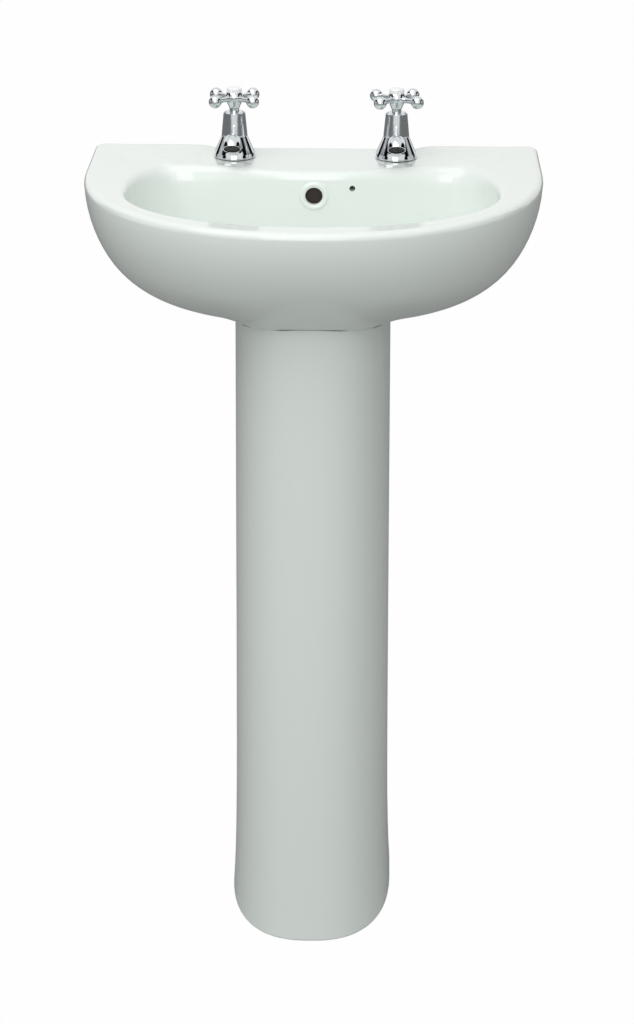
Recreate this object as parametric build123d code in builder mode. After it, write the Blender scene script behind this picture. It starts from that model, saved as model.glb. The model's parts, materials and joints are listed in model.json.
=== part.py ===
from build123d import *
import os
from math import cos, exp, radians, sin, tan

os.makedirs("parts", exist_ok=True)

# A two-tap-hole wash basin on a floor-standing pedestal, in millimetres.
# The origin is on the floor under the middle of the basin's outline: +X is to the right of
# someone who stands at the basin, +Y points to the wall behind it and +Z is up.

# Basin
basin_width = 500
basin_projection = 400
rim_height = 850
shell_depth = 167          # rim to the lowest point of the outer skin
shell_wall = 11
shell_curve = 2.0          # how soon the shell draws in below the rim
shell_fullness = 1 / 3     # how full it stays on the way down
side_flat = 90             # further length of the straight sides at the rim
rim_power = 2.25           # roundness of the outline, 2 is an ellipse
valley_top = 85            # rim to where the two valleys beside the pedestal start
valley_height = 65
valley_depth = 42
valley_start = 48          # half the width of the boss between the valleys
valley_width = 50
rear_flat = 25             # depth of the outline's straight sides at the bottom of the shell
rim_radius = 8
corner_radius = 10
deck_drop = 3.5            # the tap deck lies this much below the rim
deck_thickness = 14
deck_reach = 122           # wall to the middle of the deck's front edge
deck_side_reach = 82       # wall to the ends of the deck's front edge
deck_half_front = 155
deck_half_back = 122
deck_margin = 12           # rim left behind the deck
side_rim = 51
front_rim = 39
bowl_depth = 132
bowl_power = 2.2
horn_reach = 96            # wall to the bowl's two rear corners

# Holes in the basin
tap_spacing = 180
tap_from_wall = 50
tap_hole_radius = 17.5
waste_from_wall = 205
waste_hole_radius = 22.5
overflow_radius = 9.5
overflow_below_rim = 30
chain_hole_radius = 3.2
chain_hole_side = 42
chain_hole_below_rim = 22
wall_hole_spacing = 280
wall_hole_radius = 7
wall_hole_below_rim = 70
boss_radius = 36
boss_length = 50
duct_width = 20
duct_depth = 12
duct_wall = 6
duct_standoff = 17         # bowl's back wall to the near side of the duct
waste_recess = 2
chamber_radius = 29
duct_low = 30              # bowl floor to the bottom of the overflow chamber
duct_bend = 45             # bowl floor up to where the overflow starts to lean
duct_lean = 22             # how far it leans towards the waste
duct_spread = 6
underside_gap = 45         # waste's axis to the front of the open underside
underside_width = 240
underside_height = 60

# Pedestal
foot_half_width = 92
neck_half_width = 85.4
pedestal_taper = 2.6
foot_flare = 60            # height over which the foot's flare dies away
foot_front = 106           # origin to the front of the foot
pedestal_back = 105
pedestal_wall = 11
pedestal_flat = 40         # length of its straight sides
pedestal_power = 2.5
pedestal_slot = 116        # width of the open back
lug_height = 12
lug_hole_radius = 3.5
lug_hole_spacing = 130
lug_hole_back = 35         # back of the pedestal to the screw holes

# Taps, with heights above the deck
flange_radius = 23
seal_thickness = 1
bell_height = 24.5
bell_top_radius = 14.3
tail_radius = 10.45        # half-inch pipe thread that the supply screws on
shank_radius = 12          # the nut's thread above it
tail_length = 50
shank_length = 26
waterway_radius = 6.5
seat_height = 15
spout_radius = 10
spout_wall = 1
spout_root = 8.3           # height of the spout's middle line at the tap's axis
spout_rise = 20.5          # degrees above level
spout_droop = 53           # degrees below level at the mouth
spout_reach = 57           # axis to the corner of the spout's middle line
spout_bend_radius = 10.5
bonnet_height = 27.5
bonnet_top_radius = 12
neck_radius = 5.3
handle_height = 66.5
handle_radius = 29         # tap axis to the middle of a ball
ball_radius = 7.2
hub_radius = 10.1
cap_radius = 8.3
cap_height = 5.5
spindle_radius = 4
valve_radius = 7.4
valve_lift = 5
barrel_bore = 7.6
groove_radius = 2.9
spline_radius = 3.4
screw_radius = 1.7
screw_head = 4.5
cap_spigot = 6.4
washer_radius = 24
washer_thickness = 3
nut_radius = 15            # half the distance across flats
nut_height = 7
handle_angles = {"left": 46.5, "right": 51}

# Waste and trap
waste_flange_radius = 31.5
waste_tube_radius = 20.95  # one-and-a-quarter-inch pipe thread
waste_bore_radius = 18.3
waste_length = 98
plug_radius = 30
stem_radius = 3.1
cartridge_radius = 7
seal_height = 4
waste_seal_radius = 31
waste_nut_radius = 27
waste_nut_height = 9
dip_tube_radius = 16.5
trap_body_height = 62
trap_seal = 3
trap_drop = 150            # waste's lower end to the bottom of the cup
trap_radius = 28
outlet_radius = 16
outlet_reach = 78

running_gap = 0.05         # radius, turning and sliding fits
thread_gap = 0.05          # radius, threads drawn as plain cylinders
seat_gap = 0.3             # basin shell to pedestal
loose_gap = 0.3

# Places worked out from the sizes above
shroud_thread = bell_top_radius - 2.1
body_top = bell_height + 4.5
chamber_bore = shroud_thread - 2.2
seat_radius = waterway_radius
spout_bend = (spout_reach, spout_root + spout_reach * tan(radians(spout_rise)))
spout_end = spout_bend_radius * tan(radians((spout_rise + spout_droop) / 2)) + 0.5
spout_mouth = (spout_bend[0] + spout_end * cos(radians(spout_droop)),
               spout_bend[1] - spout_end * sin(radians(spout_droop)))
spout_start = chamber_bore - 1
barrel_top = 44
neck_top = 55.5
thread_root = spindle_radius - 0.5
valve_top = seat_height + 5.5
sleeve_top = valve_top + 10
collar_low = sleeve_top + valve_lift + 0.7
groove_low = barrel_top + 3
hub_low = neck_top + 0.5
hub_top = handle_height + 6.5
spindle_step = hub_low + 5
spindle_top = hub_top - 3.5
head_low = spindle_top + 0.2
wall = basin_projection / 2
half_width = basin_width / 2
deck = rim_height - deck_drop
tap_y = wall - tap_from_wall
waste_y = wall - waste_from_wall
bowl_floor = rim_height - bowl_depth
boss_bottom = bowl_floor - boss_length
shell_bottom = rim_height - shell_depth
chamber_bottom = bowl_floor - duct_low
underside_front = waste_y + underside_gap
spider_low = boss_bottom + 4


def valley(x, drop):
    """How far the shell is drawn in beside the pedestal,
    at a distance from the middle and below the rim."""
    deep = min(max((drop - valley_top) / valley_height, 0), 1)
    wide = min(max((x - valley_start) / valley_width, 0), 1)
    return valley_depth * deep ** 1.4 * wide * wide * (3 - 2 * wide)


def quarter_points(side, reach, power, steps=9):
    """Points between the ends of a quarter of a superellipse, from +side round to the front."""
    points = []
    for step in range(1, steps):
        angle = radians(90 * step / steps)
        points.append((side * cos(angle) ** (2 / power), -reach * sin(angle) ** (2 / power)))
    return points


def half_outline(height, side, shoulder, front, back, power, drawn_in=None):
    """Right half of a D: straight back and side, and a superellipse from the shoulder to the front."""
    curve = [(x, shoulder + y) for x, y in quarter_points(side, shoulder - front, power)]
    if drawn_in is not None:
        curve = [(x, y + valley(x, drawn_in) * (shoulder - y) / (shoulder - front)) for x, y in curve]
    with BuildSketch(Plane.XY.offset(height)) as outline:
        with BuildLine():
            Spline([(side, shoulder)] + curve + [(0, front)], tangents=[(0, -1), (-1, 0)])
            Polyline((0, front), (0, back), (side, back), (side, shoulder))
        make_face()
    return outline.sketch


def shell_outline(drop, inset=0, back_inset=0):
    """The basin's outer skin at a distance below the rim."""
    share = (1 - (drop / shell_depth) ** shell_curve) ** shell_fullness
    side = half_width * share - inset
    shoulder = wall - rear_flat - side_flat * share
    front = wall - rear_flat - (basin_projection - rear_flat) * share + inset
    return half_outline(rim_height - drop, side, shoulder, front, wall - back_inset, rim_power, drop)


def bowl_outline(drop, grow=0):
    """The bowl at a distance below the rim, with horns that wrap the ends of the tap deck."""
    share = drop / bowl_depth * 0.97
    side_share = (1 - share ** 2.6) ** 0.45
    back_share = (1 - share ** 5) ** 0.35
    side = (half_width - side_rim) * side_share + grow
    front = (waste_from_wall - basin_projection + front_rim) * side_share - grow
    back = (waste_from_wall - deck_reach) * back_share + grow
    horn = (waste_from_wall - horn_reach) * back_share + grow
    curve = [(x, waste_y + y) for x, y in quarter_points(side, -front, bowl_power)]
    with BuildSketch(Plane.XY.offset(rim_height - drop)) as outline:
        with BuildLine():
            Spline([(side, waste_y)] + curve + [(0, waste_y + front)], tangents=[(0, -1), (-1, 0)])
            Line((0, waste_y + front), (0, waste_y + back))
            Spline((0, waste_y + back), (0.42 * side, waste_y + (back + horn) / 2),
                   (0.72 * side, waste_y + horn),
                   (0.93 * side, waste_y + 0.7 * horn), (side, waste_y), tangents=[(1, 0), (0, -1)])
        make_face()
    return outline.sketch


def pedestal_outline(height, side, inset=0):
    """The pedestal at a height: a U in front of a straight back."""
    front = -(foot_front - 0.8 * (foot_half_width - side)) + inset
    shoulder = pedestal_back - pedestal_flat
    back = pedestal_back - inset
    return half_outline(height, side - inset, shoulder, front, back, pedestal_power)


def turn(profile, plane, mode=Mode.ADD):
    """A turned shape: (radius, height) points spun about the plane's upright axis."""
    with BuildSketch(plane) as outline:
        with BuildLine():
            Polyline(*profile, close=True)
        make_face()
    revolve(outline.sketch, axis=Axis(plane.origin, plane.y_dir), mode=mode)


def ring(inner, outer, low, high):
    """Profile of a plain ring."""
    return [(inner, low), (outer, low), (outer, high), (inner, high)]


def duct_profile(grow):
    """Side view of the overflow's way down, from its hole to the chamber in the boss."""
    top = rim_height - overflow_below_rim
    low = chamber_bottom
    back = wall - deck_reach + duct_standoff
    return [
        (back - duct_standoff - duct_spread, top + duct_depth / 2 + grow),
        (back + duct_depth + grow, top + duct_depth / 2 + grow),
        (back + duct_depth + grow, bowl_floor + duct_bend),
        (back - duct_lean + grow, low - grow),
        (waste_y, low - grow),
        (waste_y, low + duct_depth + grow),
        (back - duct_lean - duct_spread - grow, low + duct_depth + grow),
        (back - grow, bowl_floor + duct_bend + grow),
        (back - grow, top - duct_depth / 2 - grow),
        (back - duct_standoff - duct_spread, top - duct_depth / 2 - grow),
    ]


# Basin: a glazed shell with the bowl, the tap deck, an open underside and the waste boss
shell_levels = [0, 0.12, 0.24, 0.36, 0.48, 0.6, 0.71, 0.79, 0.86, 0.92, 0.97]
shell_drops = [shell_depth * level for level in shell_levels]
hollow_drops = [deck_drop + deck_thickness] + shell_drops[2:-1]
bowl_levels = [0, 0.15, 0.34, 0.53, 0.7, 0.83, 0.93, 1]
bowl_drops = [bowl_depth * level for level in bowl_levels]

with BuildPart() as shell_solid:
    loft([shell_outline(drop) for drop in shell_drops])
    mirror(about=Plane.YZ)

with BuildPart() as shell_hollow:
    loft([shell_outline(drop, shell_wall, shell_wall) for drop in hollow_drops])
    mirror(about=Plane.YZ)

with BuildPart() as shell_clearance:
    loft([shell_outline(drop, -seat_gap, -1) for drop in shell_drops])
    mirror(about=Plane.YZ)

with BuildPart() as bowl_skin:
    loft([bowl_outline(drop, shell_wall) for drop in bowl_drops])
    extrude(bowl_outline(bowl_depth, shell_wall), amount=-shell_wall)
    mirror(about=Plane.YZ)

with BuildPart() as bowl:
    loft([bowl_outline(drop) for drop in bowl_drops])
    mirror(about=Plane.YZ)

with BuildPart() as basin:
    add(shell_solid.part)
    back_edges = basin.edges().filter_by_position(Axis.Y, wall - 1, wall + 1)
    fillet([edge for edge in back_edges if edge.bounding_box().size.Z > shell_depth / 2], corner_radius)
    fillet(basin.edges().filter_by_position(Axis.Z, rim_height - 0.01, rim_height + 0.01), rim_radius)
    add(shell_hollow.part, mode=Mode.SUBTRACT)
    # The underside is open behind the bowl, where the pipes and the waste come up
    with BuildSketch(Plane.XY.offset(shell_bottom - 5)):
        with Locations((0, (wall - shell_wall + underside_front) / 2)):
            Rectangle(underside_width, wall - shell_wall - underside_front)
    extrude(amount=underside_height, mode=Mode.SUBTRACT)
    add(bowl_skin.part)
    # Boss round the waste and the overflow's rib down the back of the bowl
    with BuildSketch(Plane.XY.offset(boss_bottom)):
        with Locations((0, waste_y)):
            Circle(boss_radius)
    extrude(amount=boss_length)
    with BuildSketch(Plane.YZ):
        with BuildLine():
            Polyline(duct_profile(duct_wall), close=True)
        make_face()
    extrude(amount=duct_width / 2 + duct_wall, both=True)
    add(bowl.part, mode=Mode.SUBTRACT)
    with BuildSketch(Plane.YZ):
        with BuildLine():
            Polyline(duct_profile(0), close=True)
        make_face()
    extrude(amount=duct_width / 2, both=True, mode=Mode.SUBTRACT)
    # Tap deck, a shallow step down between the two back corners
    with BuildSketch(Plane.XY.offset(deck)):
        with BuildLine():
            Polyline(
                (-deck_half_front, wall - deck_side_reach), (-deck_half_back, wall - deck_margin),
                (deck_half_back, wall - deck_margin), (deck_half_front, wall - deck_side_reach),
                (deck_half_front, 0), (-deck_half_front, 0), close=True,
            )
        make_face()
    extrude(amount=deck_drop, mode=Mode.SUBTRACT)
    # Two tap holes, and a seat under each that the spacer washer bears on
    with Locations((-tap_spacing / 2, tap_y, deck), (tap_spacing / 2, tap_y, deck)):
        Hole(tap_hole_radius, depth=deck_thickness + shell_wall)
    # Waste hole with a shallow recess for its flange
    turn([(0, chamber_bottom), (chamber_radius, chamber_bottom),
          (chamber_radius, chamber_bottom + duct_depth), (0, chamber_bottom + duct_depth)],
         Plane((0, waste_y, 0), x_dir=(1, 0, 0), z_dir=(0, -1, 0)), Mode.SUBTRACT)
    with Locations((0, waste_y, bowl_floor)):
        CounterBoreHole(waste_hole_radius, waste_flange_radius + 1.5, waste_recess, depth=boss_length + 1)
    # Overflow hole and chain-stay hole through the bowl's back wall
    with BuildSketch(Plane.XZ.offset(-(wall - deck_reach - 20))):
        with Locations((0, rim_height - overflow_below_rim)):
            Circle(overflow_radius)
    extrude(amount=-40, mode=Mode.SUBTRACT)
    with BuildSketch(Plane.XZ.offset(-(wall - deck_reach - 20))):
        with Locations((chain_hole_side, rim_height - chain_hole_below_rim)):
            Circle(chain_hole_radius)
    extrude(amount=-50, mode=Mode.SUBTRACT)
    # Two holes in the back for the wall bolts
    with BuildSketch(Plane.XZ.offset(-wall)):
        with Locations((-wall_hole_spacing / 2, rim_height - wall_hole_below_rim),
                       (wall_hole_spacing / 2, rim_height - wall_hole_below_rim)):
            Circle(wall_hole_radius)
    extrude(amount=shell_wall + 1, mode=Mode.SUBTRACT)

basin.part.label = "basin"
export_step(basin.part, "parts/basin.step")

# Pedestal: a U-shaped column, open at the back, with two screw lugs at the floor
def pedestal_side(height):
    """Half the pedestal's width: a slight taper upwards and a gentle flare at the foot."""
    taper = pedestal_taper * (1 - height / shell_bottom)
    flare_width = foot_half_width - neck_half_width - pedestal_taper
    return neck_half_width + taper + flare_width * exp(-height / foot_flare)


column_top = bowl_floor + 12
flare = [(column_top * step / 12, pedestal_side(column_top * step / 12)) for step in range(13)]
lug_y = pedestal_back - lug_hole_back

with BuildPart() as pedestal_core:
    loft([pedestal_outline(height, side, pedestal_wall) for height, side in flare])
    mirror(about=Plane.YZ)

with BuildPart() as pedestal:
    loft([pedestal_outline(height, side) for height, side in flare])
    mirror(about=Plane.YZ)
    fillet(pedestal.edges().filter_by_position(Axis.Z, -0.01, 0.01), 2)
    add(pedestal_core.part, mode=Mode.SUBTRACT)
    with BuildSketch(Plane.XY):
        with Locations((0, pedestal_back)):
            Rectangle(pedestal_slot, 3 * pedestal_wall)
    extrude(amount=rim_height, mode=Mode.SUBTRACT)
    with BuildSketch(Plane.XY):
        with Locations((-lug_hole_spacing / 2 - 6, lug_y), (lug_hole_spacing / 2 + 6, lug_y)):
            Rectangle(36, 36)
    extrude(amount=lug_height)
    with Locations((-lug_hole_spacing / 2, lug_y, lug_height), (lug_hole_spacing / 2, lug_y, lug_height)):
        Hole(lug_hole_radius, depth=lug_height)
    # The top follows the underside of the basin
    add(shell_clearance.part, mode=Mode.SUBTRACT)

pedestal.part.label = "pedestal"
export_step(pedestal.part, "parts/pedestal.step")

# Taps: two of the same, each a stack of pieces on one upright axis
for side, tap_x in (("left", -tap_spacing / 2), ("right", tap_spacing / 2)):
    upright = Plane((tap_x, tap_y, deck), x_dir=(1, 0, 0), z_dir=(0, -1, 0))
    sideways = Plane((tap_x, tap_y, deck), x_dir=(0, -1, 0), z_dir=(-1, 0, 0))

    with BuildPart() as base_seal:
        turn(ring(shank_radius + loose_gap, flange_radius - 1, 0, seal_thickness), upright)
    base_seal.part.label = f"{side}_base_seal"
    export_step(base_seal.part, f"parts/{side}_base_seal.step")

    # Body: flared bell, spout, threaded tail and the valve chamber inside
    with BuildPart() as tap_body:
        turn([(0, -tail_length), (tail_radius, -tail_length), (tail_radius, -shank_length),
              (shank_radius, -shank_length), (shank_radius, seal_thickness),
              (flange_radius, seal_thickness), (flange_radius, 2.8), (flange_radius - 0.8, 6),
              (bell_top_radius, bell_height), (shroud_thread, bell_height), (shroud_thread, body_top),
              (0, body_top)], upright)
        with BuildLine(sideways) as spout_line:
            FilletPolyline((0, spout_root), spout_bend, spout_mouth, radius=spout_bend_radius)
        with BuildSketch(Plane(spout_line.line @ 0, z_dir=spout_line.line % 0)) as spout_section:
            Circle(spout_radius)
        sweep(spout_section.sketch, path=spout_line.line)
        turn(ring(0, waterway_radius, -tail_length, seat_height), upright, Mode.SUBTRACT)
        turn([(seat_radius + 1.5, seat_height - 2), (chamber_bore, seat_height - 2),
              (chamber_bore, body_top),
              (0, body_top), (0, seat_height), (seat_radius + 1.5, seat_height)], upright, Mode.SUBTRACT)
        with BuildLine(sideways) as spout_core:
            FilletPolyline(
                (spout_start, spout_root + spout_start * tan(radians(spout_rise))),
                spout_bend, spout_mouth, radius=spout_bend_radius,
            )
        with BuildSketch(Plane(spout_core.line @ 0, z_dir=spout_core.line % 0)) as spout_bore:
            Circle(spout_radius - spout_wall)
        sweep(spout_bore.sketch, path=spout_core.line, mode=Mode.SUBTRACT)
    tap_body.part.label = f"{side}_tap_body"
    export_step(tap_body.part, f"parts/{side}_tap_body.step")

    # Under the deck: a top-hat washer that centres the tail in its hole, and the nut
    with BuildPart() as spacer_washer:
        turn([(shank_radius + loose_gap, -deck_thickness - washer_thickness),
              (washer_radius, -deck_thickness - washer_thickness), (washer_radius, -deck_thickness),
              (tap_hole_radius - loose_gap, -deck_thickness), (tap_hole_radius - loose_gap, -loose_gap),
              (shank_radius + loose_gap, -loose_gap)], upright)
    spacer_washer.part.label = f"{side}_spacer_washer"
    export_step(spacer_washer.part, f"parts/{side}_spacer_washer.step")

    with BuildPart() as back_nut:
        with BuildSketch(Plane.XY.offset(deck - deck_thickness - washer_thickness - nut_height)):
            with Locations((tap_x, tap_y)):
                RegularPolygon(nut_radius, 6, major_radius=False)
                Circle(shank_radius + thread_gap, mode=Mode.SUBTRACT)
        extrude(amount=nut_height)
        chamfer(back_nut.edges().filter_by(GeomType.LINE).group_by(Axis.Z)[0], 0.8)
    back_nut.part.label = f"{side}_back_nut"
    export_step(back_nut.part, f"parts/{side}_back_nut.step")

    # Headwork: the brass barrel that screws into the body and carries the spindle
    with BuildPart() as headwork:
        turn([(barrel_bore, seat_height + 4.5), (chamber_bore - thread_gap, seat_height + 4.5),
              (chamber_bore - thread_gap, body_top), (shroud_thread - 0.3, body_top),
              (shroud_thread - 0.3, body_top + 4), (barrel_bore + 1.4, body_top + 4),
              (barrel_bore + 1.4, barrel_top), (neck_radius, barrel_top), (neck_radius, neck_top),
              (spindle_radius + running_gap, neck_top), (spindle_radius + running_gap, collar_low + 2.5),
              (barrel_bore, collar_low + 2.5)], upright)
    headwork.part.label = f"{side}_headwork"
    export_step(headwork.part, f"parts/{side}_headwork.step")

    with BuildPart() as bonnet:
        turn([(shroud_thread + thread_gap, bell_height), (bell_top_radius, bell_height),
              (bell_top_radius, bell_height + 1.5),
              (bonnet_top_radius, bell_height + bonnet_height - 1.6),
              (bonnet_top_radius - 2.4, bell_height + bonnet_height),
              (neck_radius + loose_gap, bell_height + bonnet_height),
              (neck_radius + loose_gap, bell_height + bonnet_height - 2),
              (bonnet_top_radius - 1.8, bell_height + bonnet_height - 3),
              (shroud_thread + thread_gap, body_top + 5)],
             upright)
    bonnet.part.label = f"{side}_bonnet"
    export_step(bonnet.part, f"parts/{side}_bonnet.step")

    # Valve: the jumper climbs the spindle's thread and lifts the washer off its seat
    with BuildPart() as valve_washer:
        turn(ring(2.1, valve_radius, seat_height, seat_height + 3), upright)
    valve_washer.part.label = f"{side}_valve_washer"
    export_step(valve_washer.part, f"parts/{side}_valve_washer.step")

    with BuildPart() as jumper_valve:
        turn([(0, seat_height + 0.4), (2.1, seat_height + 0.4), (2.1, seat_height + 3),
              (valve_radius, seat_height + 3),
              (valve_radius, sleeve_top), (thread_root + thread_gap, sleeve_top),
              (thread_root + thread_gap, valve_top), (0, valve_top)], upright)
    jumper_valve.part.label = f"{side}_jumper_valve"
    export_step(jumper_valve.part, f"parts/{side}_jumper_valve.step")

    with BuildPart() as spindle:
        turn([(0, valve_top + valve_lift + 0.5), (thread_root, valve_top + valve_lift + 0.5),
              (thread_root, collar_low),
              (barrel_bore - 1, collar_low), (barrel_bore - 1, collar_low + 2),
              (spindle_radius, collar_low + 2),
              (spindle_radius, groove_low), (groove_radius, groove_low),
              (groove_radius, groove_low + 1.4),
              (spindle_radius, groove_low + 1.4), (spindle_radius, spindle_step),
              (spline_radius, spindle_step),
              (spline_radius, spindle_top), (screw_radius, spindle_top), (screw_radius, spindle_top - 9),
              (0, spindle_top - 9)], upright)
    spindle.part.label = f"{side}_spindle"
    export_step(spindle.part, f"parts/{side}_spindle.step")

    with BuildPart() as spindle_ring:
        with BuildSketch(upright):
            with Locations(((groove_radius + spindle_radius) / 2 + 0.02, groove_low + 0.7)):
                Circle((spindle_radius - groove_radius) / 2)
        revolve(axis=Axis(upright.origin, upright.y_dir))
    spindle_ring.part.label = f"{side}_spindle_ring"
    export_step(spindle_ring.part, f"parts/{side}_spindle_ring.step")

    # Handle: a bulb-shaped hub with four waisted arms that end in balls
    with BuildPart() as cross_handle:
        with BuildSketch(upright):
            with BuildLine():
                Spline((6, hub_low), (hub_radius - 1.4, handle_height - 4),
                       (hub_radius, handle_height + 0.5),
                       (cap_radius + 0.8, hub_top - 1.5), (cap_radius, hub_top))
                Polyline((cap_radius, hub_top), (0, hub_top), (0, hub_low), (6, hub_low))
            make_face()
        revolve(axis=Axis(upright.origin, upright.y_dir))
        for turn_angle in range(0, 360, 90):
            direction = Vector(1, 0, 0).rotate(Axis.Z, handle_angles[side] + turn_angle)
            level = direction.cross(Vector(0, 0, 1))
            arm = Plane((tap_x, tap_y, deck + handle_height), x_dir=direction, z_dir=level)
            with BuildSketch(arm) as arm_half:
                with BuildLine():
                    Spline((hub_radius - 3, 4.2), (hub_radius + 4, 2.9), (hub_radius + 8, 2.7),
                           (handle_radius - 5, 3.6))
                    Polyline((handle_radius - 5, 3.6), (handle_radius - 5, 0), (hub_radius - 3, 0),
                             (hub_radius - 3, 4.2))
                make_face()
            revolve(arm_half.sketch, axis=Axis(arm.origin, direction))
            with Locations(Plane(arm.origin + direction * handle_radius)):
                Sphere(ball_radius)
        turn([(0, hub_low - 1), (spindle_radius + loose_gap, hub_low - 1),
              (spindle_radius + loose_gap, spindle_step),
              (spline_radius + thread_gap, spindle_step), (spline_radius + thread_gap, head_low),
              (cap_spigot + thread_gap, head_low), (cap_spigot + thread_gap, hub_top + 1),
              (0, hub_top + 1)],
             upright, Mode.SUBTRACT)
    cross_handle.part.label = f"{side}_cross_handle"
    export_step(cross_handle.part, f"parts/{side}_cross_handle.step")

    with BuildPart() as handle_screw:
        turn([(0, spindle_top - 8), (screw_radius - thread_gap, spindle_top - 8),
              (screw_radius - thread_gap, head_low), (screw_head, head_low), (screw_head, head_low + 0.6),
              (screw_head - 1.2, head_low + 1.8), (0, head_low + 1.8)], upright)
    handle_screw.part.label = f"{side}_handle_screw"
    export_step(handle_screw.part, f"parts/{side}_handle_screw.step")

    with BuildPart() as index_cap:
        turn([(0, hub_top - 1.2), (cap_spigot, hub_top - 1.2), (cap_spigot, hub_top),
              (cap_radius, hub_top),
              (cap_radius, hub_top + cap_height - 1.4), (cap_radius - 1.4, hub_top + cap_height),
              (0, hub_top + cap_height)], upright)
    index_cap.part.label = f"{side}_index_cap"
    export_step(index_cap.part, f"parts/{side}_index_cap.step")

# Waste: a slotted tube clamped through the basin, with a push-to-open plug
waste = Plane((0, waste_y, 0), x_dir=(1, 0, 0), z_dir=(0, -1, 0))
waste_seat = bowl_floor - waste_recess
flange_low = waste_seat + seal_thickness
flange_top = flange_low + 2.5
waste_end = flange_low - waste_length

with BuildPart() as waste_top_seal:
    turn(ring(waste_tube_radius + thread_gap, waste_flange_radius, waste_seat, flange_low), waste)
waste_top_seal.part.label = "waste_top_seal"
export_step(waste_top_seal.part, "parts/waste_top_seal.step")

with BuildPart() as waste_body:
    turn([(waste_bore_radius, waste_end), (waste_tube_radius, waste_end), (waste_tube_radius, flange_low),
          (waste_flange_radius, flange_low), (waste_flange_radius, flange_top),
          (waste_bore_radius + 3, flange_top),
          (waste_bore_radius, flange_low)], waste)
    with BuildSketch(Plane.XY.offset(spider_low)):
        with Locations((0, waste_y)):
            Rectangle(2 * waste_bore_radius + 1, 5)
            Rectangle(5, 2 * waste_bore_radius + 1)
            Circle(cartridge_radius + 3)
            Circle(cartridge_radius + thread_gap, mode=Mode.SUBTRACT)
    extrude(amount=6)
    # Four slots let the overflow water in
    with BuildSketch(Plane.XY.offset(chamber_bottom)):
        with Locations((0, waste_y)):
            with PolarLocations(waste_tube_radius, 4, start_angle=45):
                Rectangle(8, 8)
    extrude(amount=duct_depth, mode=Mode.SUBTRACT)
waste_body.part.label = "waste_body"
export_step(waste_body.part, "parts/waste_body.step")

with BuildPart() as waste_lower_seal:
    turn([(waste_tube_radius + thread_gap, boss_bottom - seal_height),
          (waste_seal_radius, boss_bottom - seal_height),
          (waste_seal_radius, boss_bottom - 1), (waste_seal_radius - 1, boss_bottom),
          (waste_tube_radius + thread_gap, boss_bottom)], waste)
waste_lower_seal.part.label = "waste_lower_seal"
export_step(waste_lower_seal.part, "parts/waste_lower_seal.step")

with BuildPart() as waste_back_nut:
    with BuildSketch(Plane.XY.offset(boss_bottom - seal_height - waste_nut_height)):
        with Locations((0, waste_y)):
            RegularPolygon(waste_nut_radius, 6, major_radius=False)
            Circle(waste_tube_radius + thread_gap, mode=Mode.SUBTRACT)
    extrude(amount=waste_nut_height)
    chamfer(waste_back_nut.edges().filter_by(GeomType.LINE).group_by(Axis.Z)[0], 1)
waste_back_nut.part.label = "waste_back_nut"
export_step(waste_back_nut.part, "parts/waste_back_nut.step")

with BuildPart() as plug_cartridge:
    turn([(stem_radius + running_gap, spider_low - 10), (cartridge_radius, spider_low - 10),
          (cartridge_radius, spider_low + 6), (cartridge_radius + 1.5, spider_low + 6),
          (cartridge_radius + 1.5, spider_low + 14), (stem_radius + running_gap, spider_low + 14)], waste)
plug_cartridge.part.label = "plug_cartridge"
export_step(plug_cartridge.part, "parts/plug_cartridge.step")

plug_low = flange_top + 0.05
with BuildPart() as plug_seal:
    turn([(plug_radius - 10, plug_low + 0.6), (plug_radius - 4, plug_low), (plug_radius - 3, plug_low),
          (plug_radius - 3, plug_low + 2), (plug_radius - 10, plug_low + 2)], waste)
plug_seal.part.label = "plug_seal"
export_step(plug_seal.part, "parts/plug_seal.step")

with BuildPart() as plug_cap:
    turn([(0, plug_low - 2), (stem_radius + 4, plug_low - 2), (stem_radius + 4, plug_low + 2),
          (plug_radius, plug_low + 2),
          (plug_radius, plug_low + 3.2), (plug_radius - 3, plug_low + 4.6),
          (plug_radius / 2, plug_low + 6),
          (0, plug_low + 6.5)], waste)
    turn(ring(0, stem_radius - 0.5 + thread_gap, plug_low - 3, plug_low + 3), waste, Mode.SUBTRACT)
plug_cap.part.label = "plug_cap"
export_step(plug_cap.part, "parts/plug_cap.step")

with BuildPart() as plug_stem:
    turn([(0, spider_low - 8), (stem_radius, spider_low - 8), (stem_radius, plug_low - 2),
          (stem_radius - 0.5, plug_low - 2), (stem_radius - 0.5, plug_low + 3), (0, plug_low + 3)], waste)
plug_stem.part.label = "plug_stem"
export_step(plug_stem.part, "parts/plug_stem.step")

# Bottle trap on the waste's lower end, inside the pedestal
neck_flange_top = waste_end - trap_seal
body_roof = neck_flange_top - 28
outlet_height = body_roof - outlet_radius - 6
body_end = body_roof - trap_body_height
cup_end = waste_end - trap_drop

with BuildPart() as trap_inlet_washer:
    turn(ring(dip_tube_radius, waste_tube_radius - 0.5, neck_flange_top, waste_end), waste)
trap_inlet_washer.part.label = "trap_inlet_washer"
export_step(trap_inlet_washer.part, "parts/trap_inlet_washer.step")

with BuildPart() as trap_inlet_nut:
    turn([(dip_tube_radius + 0.4, neck_flange_top - 6.5), (waste_tube_radius + 4, neck_flange_top - 6.5),
          (waste_tube_radius + 5, neck_flange_top - 5), (waste_tube_radius + 5, waste_end + 14),
          (waste_tube_radius + thread_gap, waste_end + 14),
          (waste_tube_radius + thread_gap, neck_flange_top - 3.1),
          (dip_tube_radius + 0.4, neck_flange_top - 3.1)], waste)
    with BuildSketch(Plane.XY.offset(neck_flange_top - 3)):
        with Locations((0, waste_y)):
            with PolarLocations(waste_tube_radius + 5, 12):
                Rectangle(2.4, 4)
    extrude(amount=waste_end + 12 - neck_flange_top + 3)
trap_inlet_nut.part.label = "trap_inlet_nut"
export_step(trap_inlet_nut.part, "parts/trap_inlet_nut.step")

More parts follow.
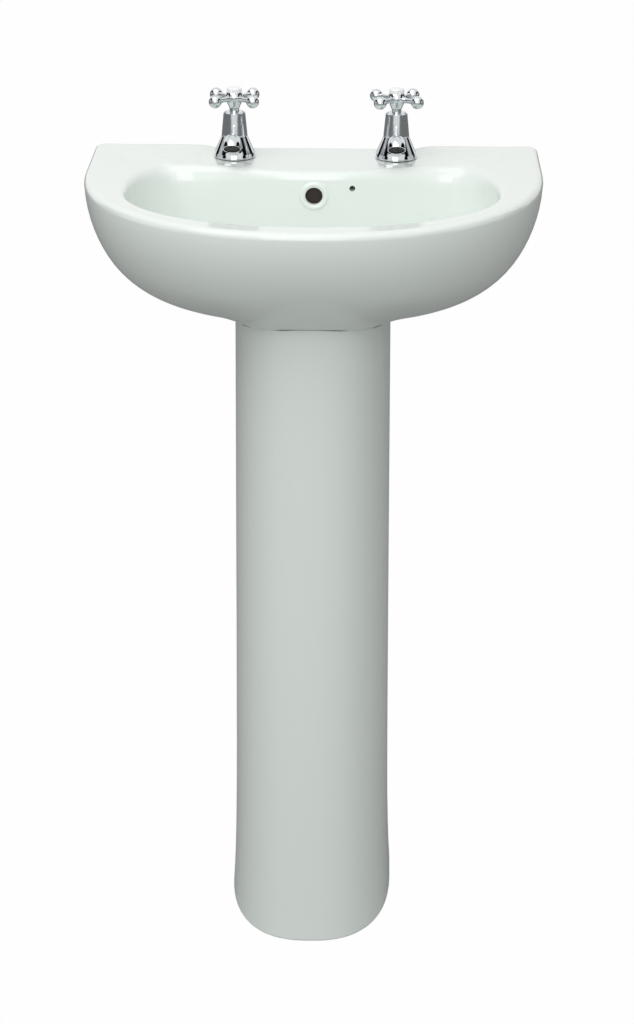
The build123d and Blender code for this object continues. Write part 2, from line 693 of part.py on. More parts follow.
with BuildPart() as trap_body:
    turn([(dip_tube_radius - 2.2, cup_end + 18), (dip_tube_radius, cup_end + 18),
          (dip_tube_radius, body_roof - 4),
          (trap_radius - 5, body_roof - 4), (trap_radius - 5, body_end), (trap_radius - 2, body_end),
          (trap_radius - 2, body_end + 14), (trap_radius, body_end + 14), (trap_radius, body_roof - 3),
          (trap_radius - 3, body_roof), (dip_tube_radius + 0.2, body_roof),
          (dip_tube_radius + 0.2, neck_flange_top - 3),
          (waste_tube_radius - 0.5, neck_flange_top - 3), (waste_tube_radius - 0.5, neck_flange_top),
          (dip_tube_radius - 2.2, neck_flange_top)], waste)
    with BuildSketch(Plane.XZ.offset(-waste_y - trap_radius + 4)):
        with Locations((0, outlet_height)):
            Circle(outlet_radius)
    extrude(amount=-(outlet_reach - 25 - trap_radius + 4))
    with BuildSketch(Plane.XZ.offset(-waste_y - outlet_reach + 28)):
        with Locations((0, outlet_height)):
            Circle(outlet_radius + 4.5)
    extrude(amount=-22)
    with BuildSketch(Plane.XZ.offset(-waste_y - trap_radius + 8)):
        with Locations((0, outlet_height)):
            Circle(outlet_radius - 2.5)
    extrude(amount=-outlet_reach, mode=Mode.SUBTRACT)
    with BuildSketch(Plane.XZ.offset(-waste_y - outlet_reach + 24)):
        with Locations((0, outlet_height)):
            Circle(outlet_radius + 0.3)
    extrude(amount=-outlet_reach, mode=Mode.SUBTRACT)
trap_body.part.label = "trap_body"
export_step(trap_body.part, "parts/trap_body.step")

with BuildPart() as trap_cup_seal:
    turn(ring(trap_radius - 4.8, trap_radius - 2, body_end - trap_seal, body_end), waste)
trap_cup_seal.part.label = "trap_cup_seal"
export_step(trap_cup_seal.part, "parts/trap_cup_seal.step")

with BuildPart() as trap_cup:
    turn([(0, cup_end), (trap_radius - 8, cup_end), (trap_radius, cup_end + 10),
          (trap_radius + 1.5, cup_end + 12),
          (trap_radius + 1.5, body_end + 12), (trap_radius - 2 + thread_gap, body_end + 12),
          (trap_radius - 2 + thread_gap, body_end - trap_seal), (trap_radius - 4.8, body_end - trap_seal),
          (trap_radius - 4.8, cup_end + 10), (trap_radius - 11, cup_end + 3), (0, cup_end + 3)], waste)
trap_cup.part.label = "trap_cup"
export_step(trap_cup.part, "parts/trap_cup.step")

outlet_axis = Plane((0, waste_y, outlet_height), x_dir=(1, 0, 0), z_dir=(0, 0, 1))
socket_end = outlet_reach - 6

with BuildPart() as trap_outlet_washer:
    turn(ring(outlet_radius + 0.3, outlet_radius + 4.3, socket_end, socket_end + 5), outlet_axis)
trap_outlet_washer.part.label = "trap_outlet_washer"
export_step(trap_outlet_washer.part, "parts/trap_outlet_washer.step")

with BuildPart() as trap_outlet_nut:
    turn([(outlet_radius + 4.5 + thread_gap, socket_end - 10), (outlet_radius + 8, socket_end - 10),
          (outlet_radius + 8, socket_end + 7), (outlet_radius + 7, socket_end + 8),
          (outlet_radius + 0.6, socket_end + 8), (outlet_radius + 0.6, socket_end + 5),
          (outlet_radius + 4.5 + thread_gap, socket_end + 5)], outlet_axis)
trap_outlet_nut.part.label = "trap_outlet_nut"
export_step(trap_outlet_nut.part, "parts/trap_outlet_nut.step")
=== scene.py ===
import bpy
import json
import math
import numpy as np
from mathutils import Matrix, Vector


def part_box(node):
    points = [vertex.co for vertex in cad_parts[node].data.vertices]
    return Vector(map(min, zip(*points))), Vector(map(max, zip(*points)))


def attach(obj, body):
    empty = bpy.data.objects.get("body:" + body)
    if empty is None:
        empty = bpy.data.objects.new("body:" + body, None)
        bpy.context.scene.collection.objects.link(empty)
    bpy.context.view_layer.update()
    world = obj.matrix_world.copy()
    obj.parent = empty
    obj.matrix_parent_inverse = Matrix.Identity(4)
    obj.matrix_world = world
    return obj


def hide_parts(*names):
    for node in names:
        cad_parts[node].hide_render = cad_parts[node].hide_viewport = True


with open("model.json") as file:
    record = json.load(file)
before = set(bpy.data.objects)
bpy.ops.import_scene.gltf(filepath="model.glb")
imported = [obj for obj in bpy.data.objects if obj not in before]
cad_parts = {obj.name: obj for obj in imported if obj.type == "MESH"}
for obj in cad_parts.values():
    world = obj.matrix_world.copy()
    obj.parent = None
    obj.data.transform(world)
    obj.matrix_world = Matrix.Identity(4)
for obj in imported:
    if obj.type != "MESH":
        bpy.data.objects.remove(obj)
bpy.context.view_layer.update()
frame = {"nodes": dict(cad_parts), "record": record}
mm = 0.001

print("frame loaded")


def linear(hexColour):
    # sRGB hex to linear RGBA
    channels = [int(hexColour[i:i + 2], 16) / 255 for i in (0, 2, 4)]
    return [c / 12.92 if c <= 0.04045 else ((c + 0.055) / 1.055) ** 2.4 for c in channels] + [1]


# camera, light and floor
view = {"place": (0.064, -3.0, 1.59), "pitch": 20.3, "yaw": 1.11, "roll": 0.16, "lens": 101.25}


def addCamera():
    data = bpy.data.cameras.new("camera")
    data.lens = view["lens"]
    data.sensor_width = 36
    data.clip_end = 60
    camera = bpy.data.objects.new("camera", data)
    turn = (Matrix.Rotation(math.radians(view["yaw"]), 4, "Z")
            @ Matrix.Rotation(math.radians(90 - view["pitch"]), 4, "X")
            @ Matrix.Rotation(math.radians(view["roll"]), 4, "Z"))
    camera.matrix_world = Matrix.Translation(view["place"]) @ turn
    bpy.context.scene.collection.objects.link(camera)
    bpy.context.scene.camera = camera


studio = {"world": 0.52, "top": 31, "front": 36, "floor": "9C9E9D", "backdrop": "FEFEFE", "dark": "0B0C0E"}


def addNode(tree, kind, settings=None, links=None):
    node = tree.nodes.new(kind)
    for name, value in (settings or {}).items():
        if name in node.inputs:
            node.inputs[name].default_value = value
        else:
            setattr(node, name, value)
    for name, source in (links or {}).items():
        tree.links.new(source, node.inputs[name])
    return node


def softbox(name, place, aim, size, power):
    data = bpy.data.lights.new(name, "AREA")
    data.shape = "RECTANGLE"
    data.size, data.size_y = size
    data.energy = power
    light = bpy.data.objects.new(name, data)
    light.location = place
    light.rotation_euler = (Vector(aim) - Vector(place)).to_track_quat("-Z", "Y").to_euler()
    bpy.context.scene.collection.objects.link(light)


def addStudio():
    scene = bpy.context.scene
    scene.view_settings.view_transform = "Standard"
    world = bpy.data.worlds.new("studio")
    world.use_nodes = True
    tree = world.node_tree
    tree.nodes.clear()
    # dark flags stand to the left and right, and only reflections see them
    coords = addNode(tree, "ShaderNodeTexCoord")
    split = addNode(tree, "ShaderNodeSeparateXYZ", None, {"Vector": coords.outputs["Generated"]})
    sideways = addNode(tree, "ShaderNodeMath", {"operation": "ABSOLUTE"}, {0: split.outputs["X"]})
    flags = addNode(tree, "ShaderNodeValToRGB", None, {"Fac": sideways.outputs[0]})
    ramp = flags.color_ramp
    ramp.elements[0].position = 0.0
    ramp.elements[0].color = linear("FFFFFF")
    ramp.elements[1].position = 1.0
    ramp.elements[1].color = linear("C9CCCE")
    bands = ((0.70, "FFFFFF"), (0.76, studio["dark"]), (0.90, studio["dark"]), (0.95, "E6E8E9"))
    for position, colour in bands:
        ramp.elements.new(position).color = linear(colour)
    path = addNode(tree, "ShaderNodeLightPath")
    plain = addNode(tree, "ShaderNodeBackground", {"Color": linear("FFFFFF"), "Strength": studio["world"]})
    banded = addNode(tree, "ShaderNodeBackground", {"Strength": 1.0}, {"Color": flags.outputs["Color"]})
    mix = addNode(tree, "ShaderNodeMixShader", None,
                  {0: path.outputs["Is Glossy Ray"], 1: plain.outputs[0], 2: banded.outputs[0]})
    addNode(tree, "ShaderNodeOutputWorld", None, {"Surface": mix.outputs[0]})
    scene.world = world
    softbox("topLight", (-0.6, -0.9, 3.2), (0, 0, 0.6), (2.6, 2.6), studio["top"])
    softbox("frontLight", (-0.2, -3.4, 2.3), (0, 0, 0.6), (2.0, 2.2), studio["front"])
    bpy.ops.mesh.primitive_plane_add(size=40)
    floor = bpy.context.object
    floor.name = "floor"
    material = bpy.data.materials.new("paleFloor")
    material.use_nodes = True
    tree = material.node_tree
    shader = tree.nodes["Principled BSDF"]
    shader.inputs["Base Color"].default_value = linear(studio["floor"])
    shader.inputs["Roughness"].default_value = 0.9
    # the camera sees a white backdrop, while the object is lit by a mid-grey floor
    seen = addNode(tree, "ShaderNodeLightPath")
    white = addNode(tree, "ShaderNodeEmission", {"Color": linear(studio["backdrop"]), "Strength": 1.0})
    both = addNode(tree, "ShaderNodeMixShader", None,
                   {0: seen.outputs["Is Camera Ray"], 1: shader.outputs[0], 2: white.outputs[0]})
    tree.links.new(both.outputs[0], tree.nodes["Material Output"].inputs["Surface"])
    floor.data.materials.append(material)


bpy.ops.object.select_all(action="DESELECT")
addCamera()
addStudio()
print("camera and studio ready")


def newMaterial(name, **settings):
    material = bpy.data.materials.new(name)
    material.use_nodes = True
    shader = material.node_tree.nodes["Principled BSDF"]
    for socket, value in settings.items():
        shader.inputs[socket.replace("_", " ")].default_value = value
    return material, material.node_tree, shader


def grain(tree, shader, size, depth, rough=None, stretch=(1, 1, 1), detail=3):
    # fine unevenness of a surface: size in metres between bumps, depth as bump height, rough as a pair
    coords = addNode(tree, "ShaderNodeTexCoord")
    mapping = addNode(tree, "ShaderNodeMapping", {"Scale": stretch}, {"Vector": coords.outputs["Object"]})
    noise = addNode(tree, "ShaderNodeTexNoise", {"Scale": 1 / size, "Detail": detail},
                    {"Vector": mapping.outputs["Vector"]})
    bump = addNode(tree, "ShaderNodeBump", {"Distance": depth, "Strength": 0.6},
                   {"Height": noise.outputs["Fac"]})
    tree.links.new(bump.outputs["Normal"], shader.inputs["Normal"])
    if rough:
        span = addNode(tree, "ShaderNodeMapRange", {"To Min": rough[0], "To Max": rough[1]},
                       {"Value": noise.outputs["Fac"]})
        tree.links.new(span.outputs["Result"], shader.inputs["Roughness"])


def glazedChina(name, wave, depth, stretch):
    # vitreous china under a clear glaze: near white, very glossy, with the slow waves of a fired glaze
    material, tree, shader = newMaterial(name, Base_Color=linear("EDF4EF"), IOR=1.52)
    grain(tree, shader, wave, depth, (0.05, 0.11), stretch, detail=1)
    return material


def polishedChrome():
    # chrome plate on buffed brass: a mirror with the faintest haze
    material, tree, shader = newMaterial("polishedChromePlate", Base_Color=linear("D3D7DA"), Metallic=1)
    grain(tree, shader, 9 * mm, 0.012 * mm, (0.03, 0.07))
    return material


def turnedBrass():
    # machined brass: fine turning lines round the axis
    material, tree, shader = newMaterial("turnedBrass", Base_Color=linear("D2AE62"), Metallic=1)
    grain(tree, shader, 6 * mm, 0.05 * mm, (0.22, 0.38), (1, 1, 12))
    return material


def zincSteel():
    # zinc-plated steel screw
    material, tree, shader = newMaterial("zincPlatedSteel", Base_Color=linear("B9BDC0"), Metallic=1)
    grain(tree, shader, 1.5 * mm, 0.02 * mm, (0.25, 0.4))
    return material


def blackRubber():
    # moulded nitrile rubber
    material, tree, shader = newMaterial("nitrileRubber", Base_Color=linear("1C1C1D"))
    grain(tree, shader, 0.8 * mm, 0.05 * mm, (0.55, 0.75))
    return material


def whiteNylon():
    # injection-moulded nylon
    material, tree, shader = newMaterial("mouldedNylon", Base_Color=linear("E3E1D8"))
    grain(tree, shader, 1.2 * mm, 0.03 * mm, (0.4, 0.55))
    return material


def whitePolypropylene():
    # glossy moulded polypropylene of the trap
    material, tree, shader = newMaterial("mouldedPolypropylene", Base_Color=linear("F0F0EC"))
    grain(tree, shader, 3 * mm, 0.04 * mm, (0.25, 0.38))
    return material


def clayWithPaintedShade():
    # unglazed clay inside the overflow: brown clay, with the shade of the deep hole painted in as its dark
    # colour
    material, tree, shader = newMaterial("unglazedClayPaintedShade", Base_Color=linear("2E2620"))
    grain(tree, shader, 2 * mm, 0.2 * mm, (0.7, 0.9))
    return material


def capEnamel():
    # white enamelled index cap
    material, tree, shader = newMaterial("whiteEnamel", Base_Color=linear("F4F5F6"), Coat_Weight=0.5)
    grain(tree, shader, 6 * mm, 0.02 * mm, (0.12, 0.2))
    return material


china = glazedChina("glazedVitreousChina", 22 * mm, 0.10 * mm, (1, 1, 1))
columnChina = glazedChina("castVitreousChina", 34 * mm, 0.9 * mm, (1, 1, 0.04))
rubber = blackRubber()
chrome = polishedChrome()
slotMaterials = {
    "basin_glaze": china, "pedestal_glaze": columnChina, "chrome_plate": chrome,
    "plain_brass": turnedBrass(),
    "steel_screw": zincSteel(), "cap_enamel": capEnamel(), "rubber_seal": rubber,
    "nylon": whiteNylon(), "trap_plastic": whitePolypropylene(),
}
for part in frame["record"]["subparts"]:
    node = frame["nodes"][part["node"]]
    for index in range(len(node.material_slots)):
        node.material_slots[index].material = slotMaterials[part["material_slot"]]
        if part["node"].endswith("headwork"):
            # the neck that shows over the bonnet is plated
            node.material_slots[index].material = chrome
print("materials assigned")


def deselect():
    if bpy.context.object and bpy.context.object.mode != "OBJECT":
        bpy.ops.object.mode_set(mode="OBJECT")
    bpy.ops.object.select_all(action="DESELECT")


def extrudeRing(piece, ring, target):
    # extrudes the ring that is selected and sets it on the target points
    bpy.ops.object.mode_set(mode="EDIT")
    bpy.ops.mesh.extrude_region_move()
    bpy.ops.object.mode_set(mode="OBJECT")
    vertices = piece.data.vertices
    count = len(ring)
    first = len(vertices) - count
    flat = np.empty(3 * len(vertices))
    vertices.foreach_get("co", flat)
    coords = flat.reshape(-1, 3)
    fresh = coords[first:].copy()
    order = ((fresh[:, None, :] - ring[None, :, :]) ** 2).sum(axis=2).argmin(axis=1)
    coords[first:] = target[order]
    vertices.foreach_set("co", coords.reshape(-1))
    piece.data.update()


def skinRings(name, rings, closeStart=True, closeEnd=True):
    # a shell through rings of equal count, started from a circle and extruded ring by ring
    deselect()
    bpy.ops.mesh.primitive_circle_add(vertices=len(rings[0]), radius=1, fill_type="NOTHING")
    piece = bpy.context.object
    piece.name = name
    piece.data.vertices.foreach_set("co", np.array(rings[0]).reshape(-1))
    if closeStart:
        bpy.ops.object.mode_set(mode="EDIT")
        bpy.ops.mesh.select_all(action="SELECT")
        bpy.ops.mesh.edge_face_add()
        bpy.ops.object.mode_set(mode="OBJECT")
        piece.data.polygons[0].select = False
        bpy.ops.object.mode_set(mode="EDIT")
        bpy.ops.mesh.select_mode(type="VERT")
        bpy.ops.mesh.select_all(action="DESELECT")
        bpy.ops.object.mode_set(mode="OBJECT")
    bpy.ops.object.mode_set(mode="EDIT")
    bpy.ops.mesh.select_mode(type="EDGE")
    bpy.ops.mesh.select_all(action="DESELECT")
    bpy.ops.object.mode_set(mode="OBJECT")
    for edge in piece.data.edges:
        edge.select = True
    previous = np.array(rings[0], dtype=float)
    for ring in rings[1:]:
        target = np.array(ring, dtype=float)
        extrudeRing(piece, previous, target)
        previous = target
    if closeEnd:
        bpy.ops.object.mode_set(mode="EDIT")
        bpy.ops.mesh.edge_face_add()
        bpy.ops.object.mode_set(mode="OBJECT")
    bpy.ops.object.mode_set(mode="EDIT")
    bpy.ops.mesh.select_all(action="SELECT")
    bpy.ops.mesh.remove_doubles(threshold=0.00001)
    bpy.ops.mesh.normals_make_consistent(inside=False)
    bpy.ops.object.mode_set(mode="OBJECT")
    return piece


def cylinder(name, radius, depth, place, turn=(0, 0, 0), bevel=0, sides=64):
    deselect()
    bpy.ops.mesh.primitive_cylinder_add(vertices=sides, radius=radius, depth=depth,
                                        location=place, rotation=turn)
    piece = bpy.context.object
    piece.name = name
    if bevel:
        bpy.ops.object.mode_set(mode="EDIT")
        bpy.ops.mesh.select_mode(type="FACE")
        bpy.ops.mesh.select_all(action="DESELECT")
        bpy.ops.object.mode_set(mode="OBJECT")
        for face in piece.data.polygons:
            face.select = len(face.vertices) > 4
        bpy.ops.object.mode_set(mode="EDIT")
        bpy.ops.mesh.bevel(offset=bevel, segments=3, affect="EDGES")
        bpy.ops.object.mode_set(mode="OBJECT")
    bpy.ops.object.transform_apply(location=True, rotation=True, scale=True)
    return piece


def cutWith(piece, cutter, operation="DIFFERENCE"):
    deselect()
    piece.select_set(True)
    bpy.context.view_layer.objects.active = piece
    modifier = piece.modifiers.new("cut", "BOOLEAN")
    modifier.operation = operation
    modifier.solver = "EXACT"
    modifier.object = cutter
    bpy.ops.object.modifier_apply(modifier=modifier.name)
    bpy.data.objects.remove(cutter)


def finished(piece, body, slot, material, *nodes, smooth=35):
    deselect()
    piece.select_set(True)
    bpy.context.view_layer.objects.active = piece
    bpy.ops.object.shade_smooth_by_angle(angle=math.radians(smooth))
    if not piece.data.materials:
        piece.data.materials.append(material)
    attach(piece, body)
    if nodes:
        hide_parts(*nodes)


# basin, in millimetres until its rings are scaled
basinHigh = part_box("basin")[1]
basinSizes = {
    "shellDepth": 167, "shellCurve": 2.0, "shellFullness": 1 / 3, "sideFlat": 90, "rimPower": 2.25,
    "valleyTop": 85, "valleyHeight": 65, "valleyDepth": 42, "valleyStart": 48, "valleyWidth": 50,
    "rearFlat": 25, "rimRadius": 8, "cornerRadius": 11, "deckDrop": 3.5, "deckReach": 122,
    "sideRim": 51, "frontRim": 39, "bowlDepth": 132, "edgeRadius": 7, "hornRadius": 24,
    "deckEdgeRadius": 10,
    "wasteFromWall": 205, "ridge": 2.0, "ridgeWidth": 9, "ridgeLength": 118, "rimSlope": 0.035,
    "rimHeight": 850, "halfWidth": 250, "projection": 400, "hornReach": 96, "bowlPower": 2.2,
    "deckHalfFront": 157, "deckSideReach": 82, "deckTaper": 32, "skinDepth": 162, "bottomDrop": 164,
    "floorRings": (12, 24, 36, 46),
}


def valley(x, drop):
    # how far the shell is drawn in beside the pedestal
    size = basinSizes
    deep = min(max((drop - size["valleyTop"]) / size["valleyHeight"], 0), 1)
    wide = min(max((x - size["valleyStart"]) / size["valleyWidth"], 0), 1)
    return size["valleyDepth"] * deep ** 1.4 * wide * wide * (3 - 2 * wide)


def outerOutline(drop, inset=0):
    size = basinSizes
    wall, half = basinHigh[1] / mm, basinHigh[0] / mm
    projection = 2 * wall
    share = (1 - (drop / size["shellDepth"]) ** size["shellCurve"]) ** size["shellFullness"]
    side = half * share - inset
    shoulder = wall - size["rearFlat"] - size["sideFlat"] * share
    front = wall - size["rearFlat"] - (projection - size["rearFlat"]) * share + inset
    back = wall - inset
    corner = max(size["cornerRadius"] - inset, 2)
    reach = shoulder - front
    power = 2 / size["rimPower"]
    right = []
    for step in range(48):
        angle = math.radians(90 - 90 * step / 48)
        x = side * math.cos(angle) ** power if step else 0.0
        ahead = math.sin(angle) ** power
        right.append((x, shoulder - (reach - valley(x, drop)) * ahead))
    for step in range(12):
        right.append((side, shoulder + (back - corner - shoulder) * step / 12))
    for step in range(7):
        angle = math.radians(90 * step / 7)
        right.append((side - corner + corner * math.cos(angle), back - corner + corner * math.sin(angle)))
    for step in range(25):
        right.append(((side - corner) * (1 - step / 24), back))
    left = [(-x, y) for x, y in right[-2:0:-1]]
    return np.array(right + left)


def bowlPolar(drop):
    # the bowl's section at a drop, as angle and distance from the waste's axis
    size = basinSizes
    share = drop / size["bowlDepth"] * 0.97
    sideShare = (1 - share ** 2.6) ** 0.45
    backShare = (1 - share ** 5) ** 0.35
    side = (size["halfWidth"] - size["sideRim"]) * sideShare
    front = (size["projection"] - size["wasteFromWall"] - size["frontRim"]) * sideShare
    back = (size["wasteFromWall"] - size["deckReach"]) * backShare
    horn = (size["wasteFromWall"] - size["hornReach"]) * backShare
    knots = [(side, 0), (0.985 * side, 0.32 * horn), (0.93 * side, 0.68 * horn), (0.81 * side, 0.95 * horn),
             (0.68 * side, 0.985 * horn), (0.42 * side, (back + horn) / 2),
             (0.2 * side, back + 0.1 * (horn - back)),
             (0, back)]
    points = []
    for step in range(60):
        angle = math.radians(-90 + 90 * step / 60)
        points.append((side * math.cos(angle) ** (2 / size["bowlPower"]) if step else 0.0,
                       -front * abs(math.sin(angle)) ** (2 / size["bowlPower"])))
    ends = [(2 * knots[0][0] - knots[1][0], -knots[1][1])] + knots + [(-knots[-2][0], knots[-2][1])]
    for i in range(1, len(ends) - 2):
        a, b, c, d = (np.array(ends[i + k], dtype=float) for k in (-1, 0, 1, 2))
        for step in range(12):
            t = step / 12
            points.append(tuple(0.5 * (2 * b + (c - a) * t + (2 * a - 5 * b + 4 * c - d) * t ** 2
                                       + (3 * b - a - 3 * c + d) * t ** 3)))
    points.append((0, back))
    points = np.array(points)
    angles = np.arctan2(points[:, 1], points[:, 0])
    order = np.argsort(angles)
    return angles[order], np.hypot(points[:, 0], points[:, 1])[order]


def bowlRadius(drop, angles):
    # distance to the bowl's wall along rays; both halves are the same
    table, distance = bowlPolar(drop)
    folded = np.arctan2(np.sin(angles), np.abs(np.cos(angles)))
    return np.interp(folded, table, distance)


def smoothStep(value):
    value = np.clip(value, 0, 1)
    return value * value * (3 - 2 * value)


def topHeight(x, y, inward):
    # rim that leans slightly inwards, the lower tap deck, and the soft ridges from its corners
    size = basinSizes
    rim, wall = size["rimHeight"], basinHigh[1] / mm
    height = rim - size["rimSlope"] * np.minimum(inward, 90)
    side = np.abs(x)
    cornerX, cornerY = size["deckHalfFront"], wall - size["deckSideReach"]
    # ridge from the deck's front corner to behind the tap
    along = (y - cornerY) / 62
    border = cornerX - size["deckTaper"] * np.clip(along, -0.5, 1.4)
    inDeck = smoothStep((border - side) / 16 + 0.5) * smoothStep((y - cornerY + 75) / 20)
    height = height * (1 - inDeck) + (rim - size["deckDrop"]) * inDeck
    # ridge from the same corner out to the back corner
    dx, dy = 85 / 110, 70 / 110
    reach = (side - cornerX) * dx + (y - cornerY) * dy
    apart = (side - cornerX) * dy - (y - cornerY) * dx
    ends = smoothStep(reach / 30 + 0.4) * smoothStep((size["ridgeLength"] - reach) / 30)
    return height + size["ridge"] * np.exp(-(apart / size["ridgeWidth"]) ** 2) * ends


def modelBasin():
    size = basinSizes
    wall = basinHigh[1] / mm
    centre = np.array([0, wall - size["wasteFromWall"]])
    rimLine = outerOutline(0)
    rays = rimLine - centre
    angles = np.arctan2(rays[:, 1], rays[:, 0])
    unit = rays / np.hypot(rays[:, 0], rays[:, 1])[:, None]
    count = len(rimLine)

    def level(points, height):
        heights = np.full(count, height) if np.isscalar(height) else height
        return np.column_stack([points, heights])

    rings = []
    rim = size["rimHeight"]
    floorHeight = rim - size["bowlDepth"]
    for radius in size["floorRings"]:
        rings.append(level(centre + unit * radius, floorHeight))
    # bowl wall, closer together where it curves
    folded = np.degrees(np.arctan2(np.sin(angles), np.abs(np.cos(angles))))
    radiusAtEdge = (size["edgeRadius"]
                    + (size["hornRadius"] - size["edgeRadius"]) * np.exp(-((folded - 38) / 14) ** 2)
                    + (size["deckEdgeRadius"] - size["edgeRadius"]) * smoothStep((folded - 50) / 12))
    rimPoints = outerOutline(0, size["rimRadius"])
    edgeLine = centre + unit * (bowlRadius(0, angles) + radiusAtEdge)[:, None]
    inward = np.hypot(*(rimPoints - edgeLine).T)
    edgeHeight = topHeight(edgeLine[:, 0], edgeLine[:, 1], inward)
    for step in range(22):
        fall = 1 - (1 - math.cos(math.radians(90 * step / 21))) * 0.985 - 0.015 * step / 21
        drops = radiusAtEdge + (size["bowlDepth"] - radiusAtEdge) * fall
        drops = np.maximum(drops, 0)
        radii = np.array([bowlRadius(drop, angles[k:k + 1])[0] for k, drop in enumerate(drops)])
        height = rim - drops - (rim - edgeHeight) * (1 - fall) ** 3
        rings.append(level(centre + unit * radii[:, None], height))
    start = rings[-1].copy()
    # rounded edge between the wall and the top
    for step in range(1, 7):
        angle = math.radians(90 * step / 6)
        across = 1 - math.cos(angle)
        up = math.sin(angle)
        points = start[:, :2] + (edgeLine - start[:, :2]) * across
        rings.append(level(points, start[:, 2] + (edgeHeight - start[:, 2]) * up))
    # top, out to the rim
    for step in range(1, 19):
        share = step / 18
        points = edgeLine + (rimPoints - edgeLine) * share
        height = topHeight(points[:, 0], points[:, 1], inward * (1 - share))
        rings.append(level(points, height))
    top = rings[-1][:, 2]
    for step in range(1, 7):
        angle = math.radians(90 * step / 6)
        drop = size["rimRadius"] * (1 - math.cos(angle))
        inset = size["rimRadius"] * (1 - math.sin(angle))
        rings.append(level(outerOutline(drop, inset), top - drop))
    for step in range(1, 27):
        share = step / 26
        fall = math.sin(math.radians(90 * share)) ** 0.9
        drop = size["rimRadius"] + (size["skinDepth"] - size["rimRadius"]) * fall
        rings.append(level(outerOutline(drop), rim - drop))
    rings.append(level(outerOutline(size["skinDepth"]) * [0.93, 1], rim - size["bottomDrop"]))
    return skinRings("basinShell", [ring * mm for ring in rings])


# holes and hollows, in millimetres: the places are those of the fittings that pass through them
holeSizes = {
    "tapX": 90, "tapRadius": 17.5, "wasteRadius": 22.5, "recessRadius": 33, "recess": 2,
    "overflowRadius": 9.5, "overflowMiddle": 79, "overflowLength": 38, "chainMiddle": 83, "chainLength": 50,
    "flangeRadius": 23,
    "overflowDrop": 30, "chainRadius": 3.25, "chainX": 42, "chainDrop": 22, "boltX": 140, "boltRadius": 7,
    "boltDrop": 70, "bossRadius": 36, "bossLength": 50, "cavityX": 118, "cavityFront": 112,
    "cavityTop": 17.5,
    "wallThickness": 12, "lipRadius": 13, "lipThickness": 3.2,
}


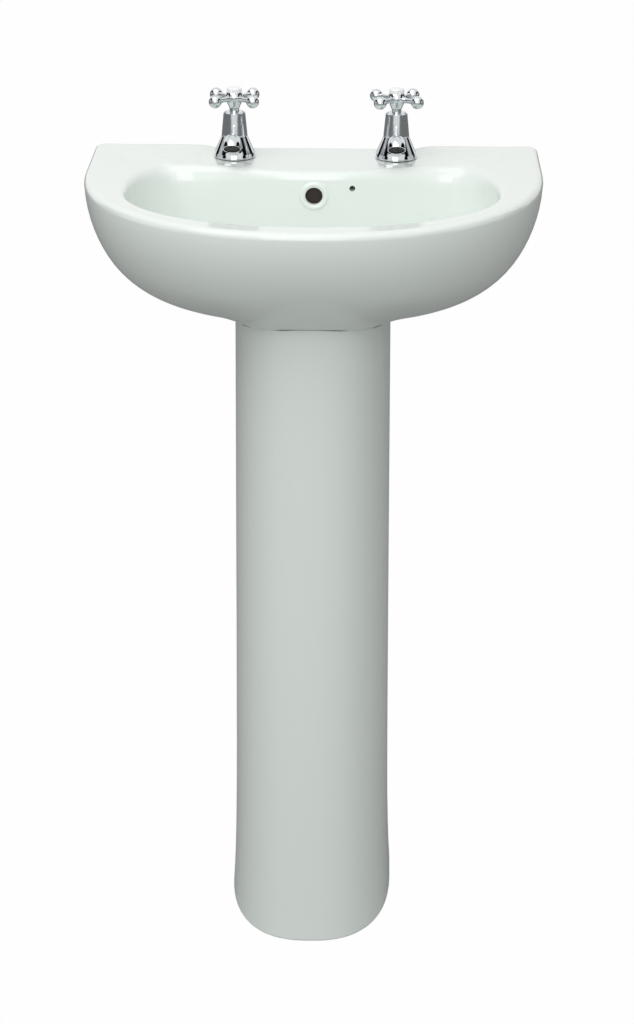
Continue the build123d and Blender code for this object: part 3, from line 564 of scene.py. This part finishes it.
def cutBasin(piece):
    hole = holeSizes
    high = Vector(basinHigh)
    rim = high.z
    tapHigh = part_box("left_tap_body")[1]
    tapY = tapHigh[1] - hole["flangeRadius"] * mm
    wasteLow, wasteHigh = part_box("waste_body")
    wasteY = (wasteLow[1] + wasteHigh[1]) / 2
    floorZ = rim - basinSizes["bowlDepth"] * mm
    bossBottom = floorZ - hole["bossLength"] * mm
    boss = cylinder("boss", hole["bossRadius"] * mm, (hole["bossLength"] - 8) * mm,
                    (0, wasteY, bossBottom + (hole["bossLength"] - 8) / 2 * mm), bevel=1.5 * mm)
    cutWith(piece, boss, "UNION")
    level = (math.radians(90), 0, 0)
    cuts = [cylinder("waste", hole["wasteRadius"] * mm, 120 * mm, (0, wasteY, floorZ)),
            cylinder("recess", hole["recessRadius"] * mm, 20 * mm,
                     (0, wasteY, floorZ + (10 - hole["recess"]) * mm)),
            cylinder("overflow", hole["overflowRadius"] * mm, hole["overflowLength"] * mm,
                     (0, hole["overflowMiddle"] * mm, rim - hole["overflowDrop"] * mm), level),
            cylinder("chain", hole["chainRadius"] * mm, hole["chainLength"] * mm,
                     (hole["chainX"] * mm, hole["chainMiddle"] * mm, rim - hole["chainDrop"] * mm),
                     level, sides=32)]
    for side in (-1, 1):
        cuts.append(cylinder("tap", hole["tapRadius"] * mm, 60 * mm, (side * hole["tapX"] * mm, tapY, rim)))
        cuts.append(cylinder("bolt", hole["boltRadius"] * mm, 30 * mm,
                             (side * hole["boltX"] * mm, high.y, rim - hole["boltDrop"] * mm), level))
    deselect()
    back = high.y - hole["wallThickness"] * mm
    front = hole["cavityFront"] * mm
    top = rim - hole["cavityTop"] * mm
    bpy.ops.mesh.primitive_cube_add(size=1, location=(0, (front + back) / 2, top - 100 * mm))
    bpy.context.object.scale = (2 * hole["cavityX"] * mm, back - front, 200 * mm)
    bpy.ops.object.transform_apply(location=True, rotation=True, scale=True)
    cavity = bpy.context.object
    # the cavity takes in the tap holes, so it is cut on its own
    cutWith(piece, cavity)
    for cut in cuts:
        cutWith(piece, cut)


def overflowLip():
    # the raised ring round the overflow, and the unglazed clay that shows behind it, dark with painted
    # shade of the deep hole
    hole = holeSizes
    place = (0, (basinHigh[1] / mm - basinSizes["deckReach"] + 1.2) * mm,
             basinHigh[2] - hole["overflowDrop"] * mm)
    deselect()
    bpy.ops.mesh.primitive_torus_add(major_radius=hole["lipRadius"] * mm,
                                     minor_radius=hole["lipThickness"] * mm,
                                     major_segments=72, minor_segments=16, location=place,
                                     rotation=(math.radians(90), 0, 0))
    lip = bpy.context.object
    lip.name = "overflowLip"
    bpy.ops.object.transform_apply(location=True, rotation=True, scale=True)
    finished(lip, "fixture", "basin_glaze", china)
    # the lining's dark colour is painted shade of the deep overflow hole over brown clay
    lining = cylinder("overflowLiningPaintedShade", (hole["overflowRadius"] - 0.1) * mm, 14 * mm,
                      (0, place[1] + 10 * mm, place[2]), (math.radians(90), 0, 0), bevel=1.2 * mm)
    finished(lining, "fixture", "basin_glaze", clayWithPaintedShade())


basinShell = modelBasin()
cutBasin(basinShell)
finished(basinShell, "fixture", "basin_glaze", china, "basin")
overflowLip()
print("basin modelled")

# a black disc just inside each spout's mouth, painted shade for the dark inside of the open spout, 53
# degrees below level
mouthSizes = {"forward": 61.1, "up": 24.1, "radius": 8.85, "thickness": 0.8, "turn": 143}


def spoutShadeDisc(side):
    size = mouthSizes
    tapLow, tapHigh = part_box(side + "_tap_body")
    middle = (tapLow[0] + tapHigh[0]) / 2
    deck = basinHigh[2] - basinSizes["deckDrop"] * mm
    ahead = (holeSizes["flangeRadius"] + size["forward"]) * mm
    place = (middle, tapHigh[1] - ahead, deck + size["up"] * mm)
    disc = cylinder(side + "SpoutShadeDisc", size["radius"] * mm, size["thickness"] * mm, place,
                    (math.radians(size["turn"]), 0, 0), bevel=0.25 * mm)
    # the black rubber colour stands in for the shade inside the open spout: painted shade
    finished(disc, "fixture", "rubber_seal", rubber)


spoutShadeDisc("left")
spoutShadeDisc("right")
print("spout shade discs placed")
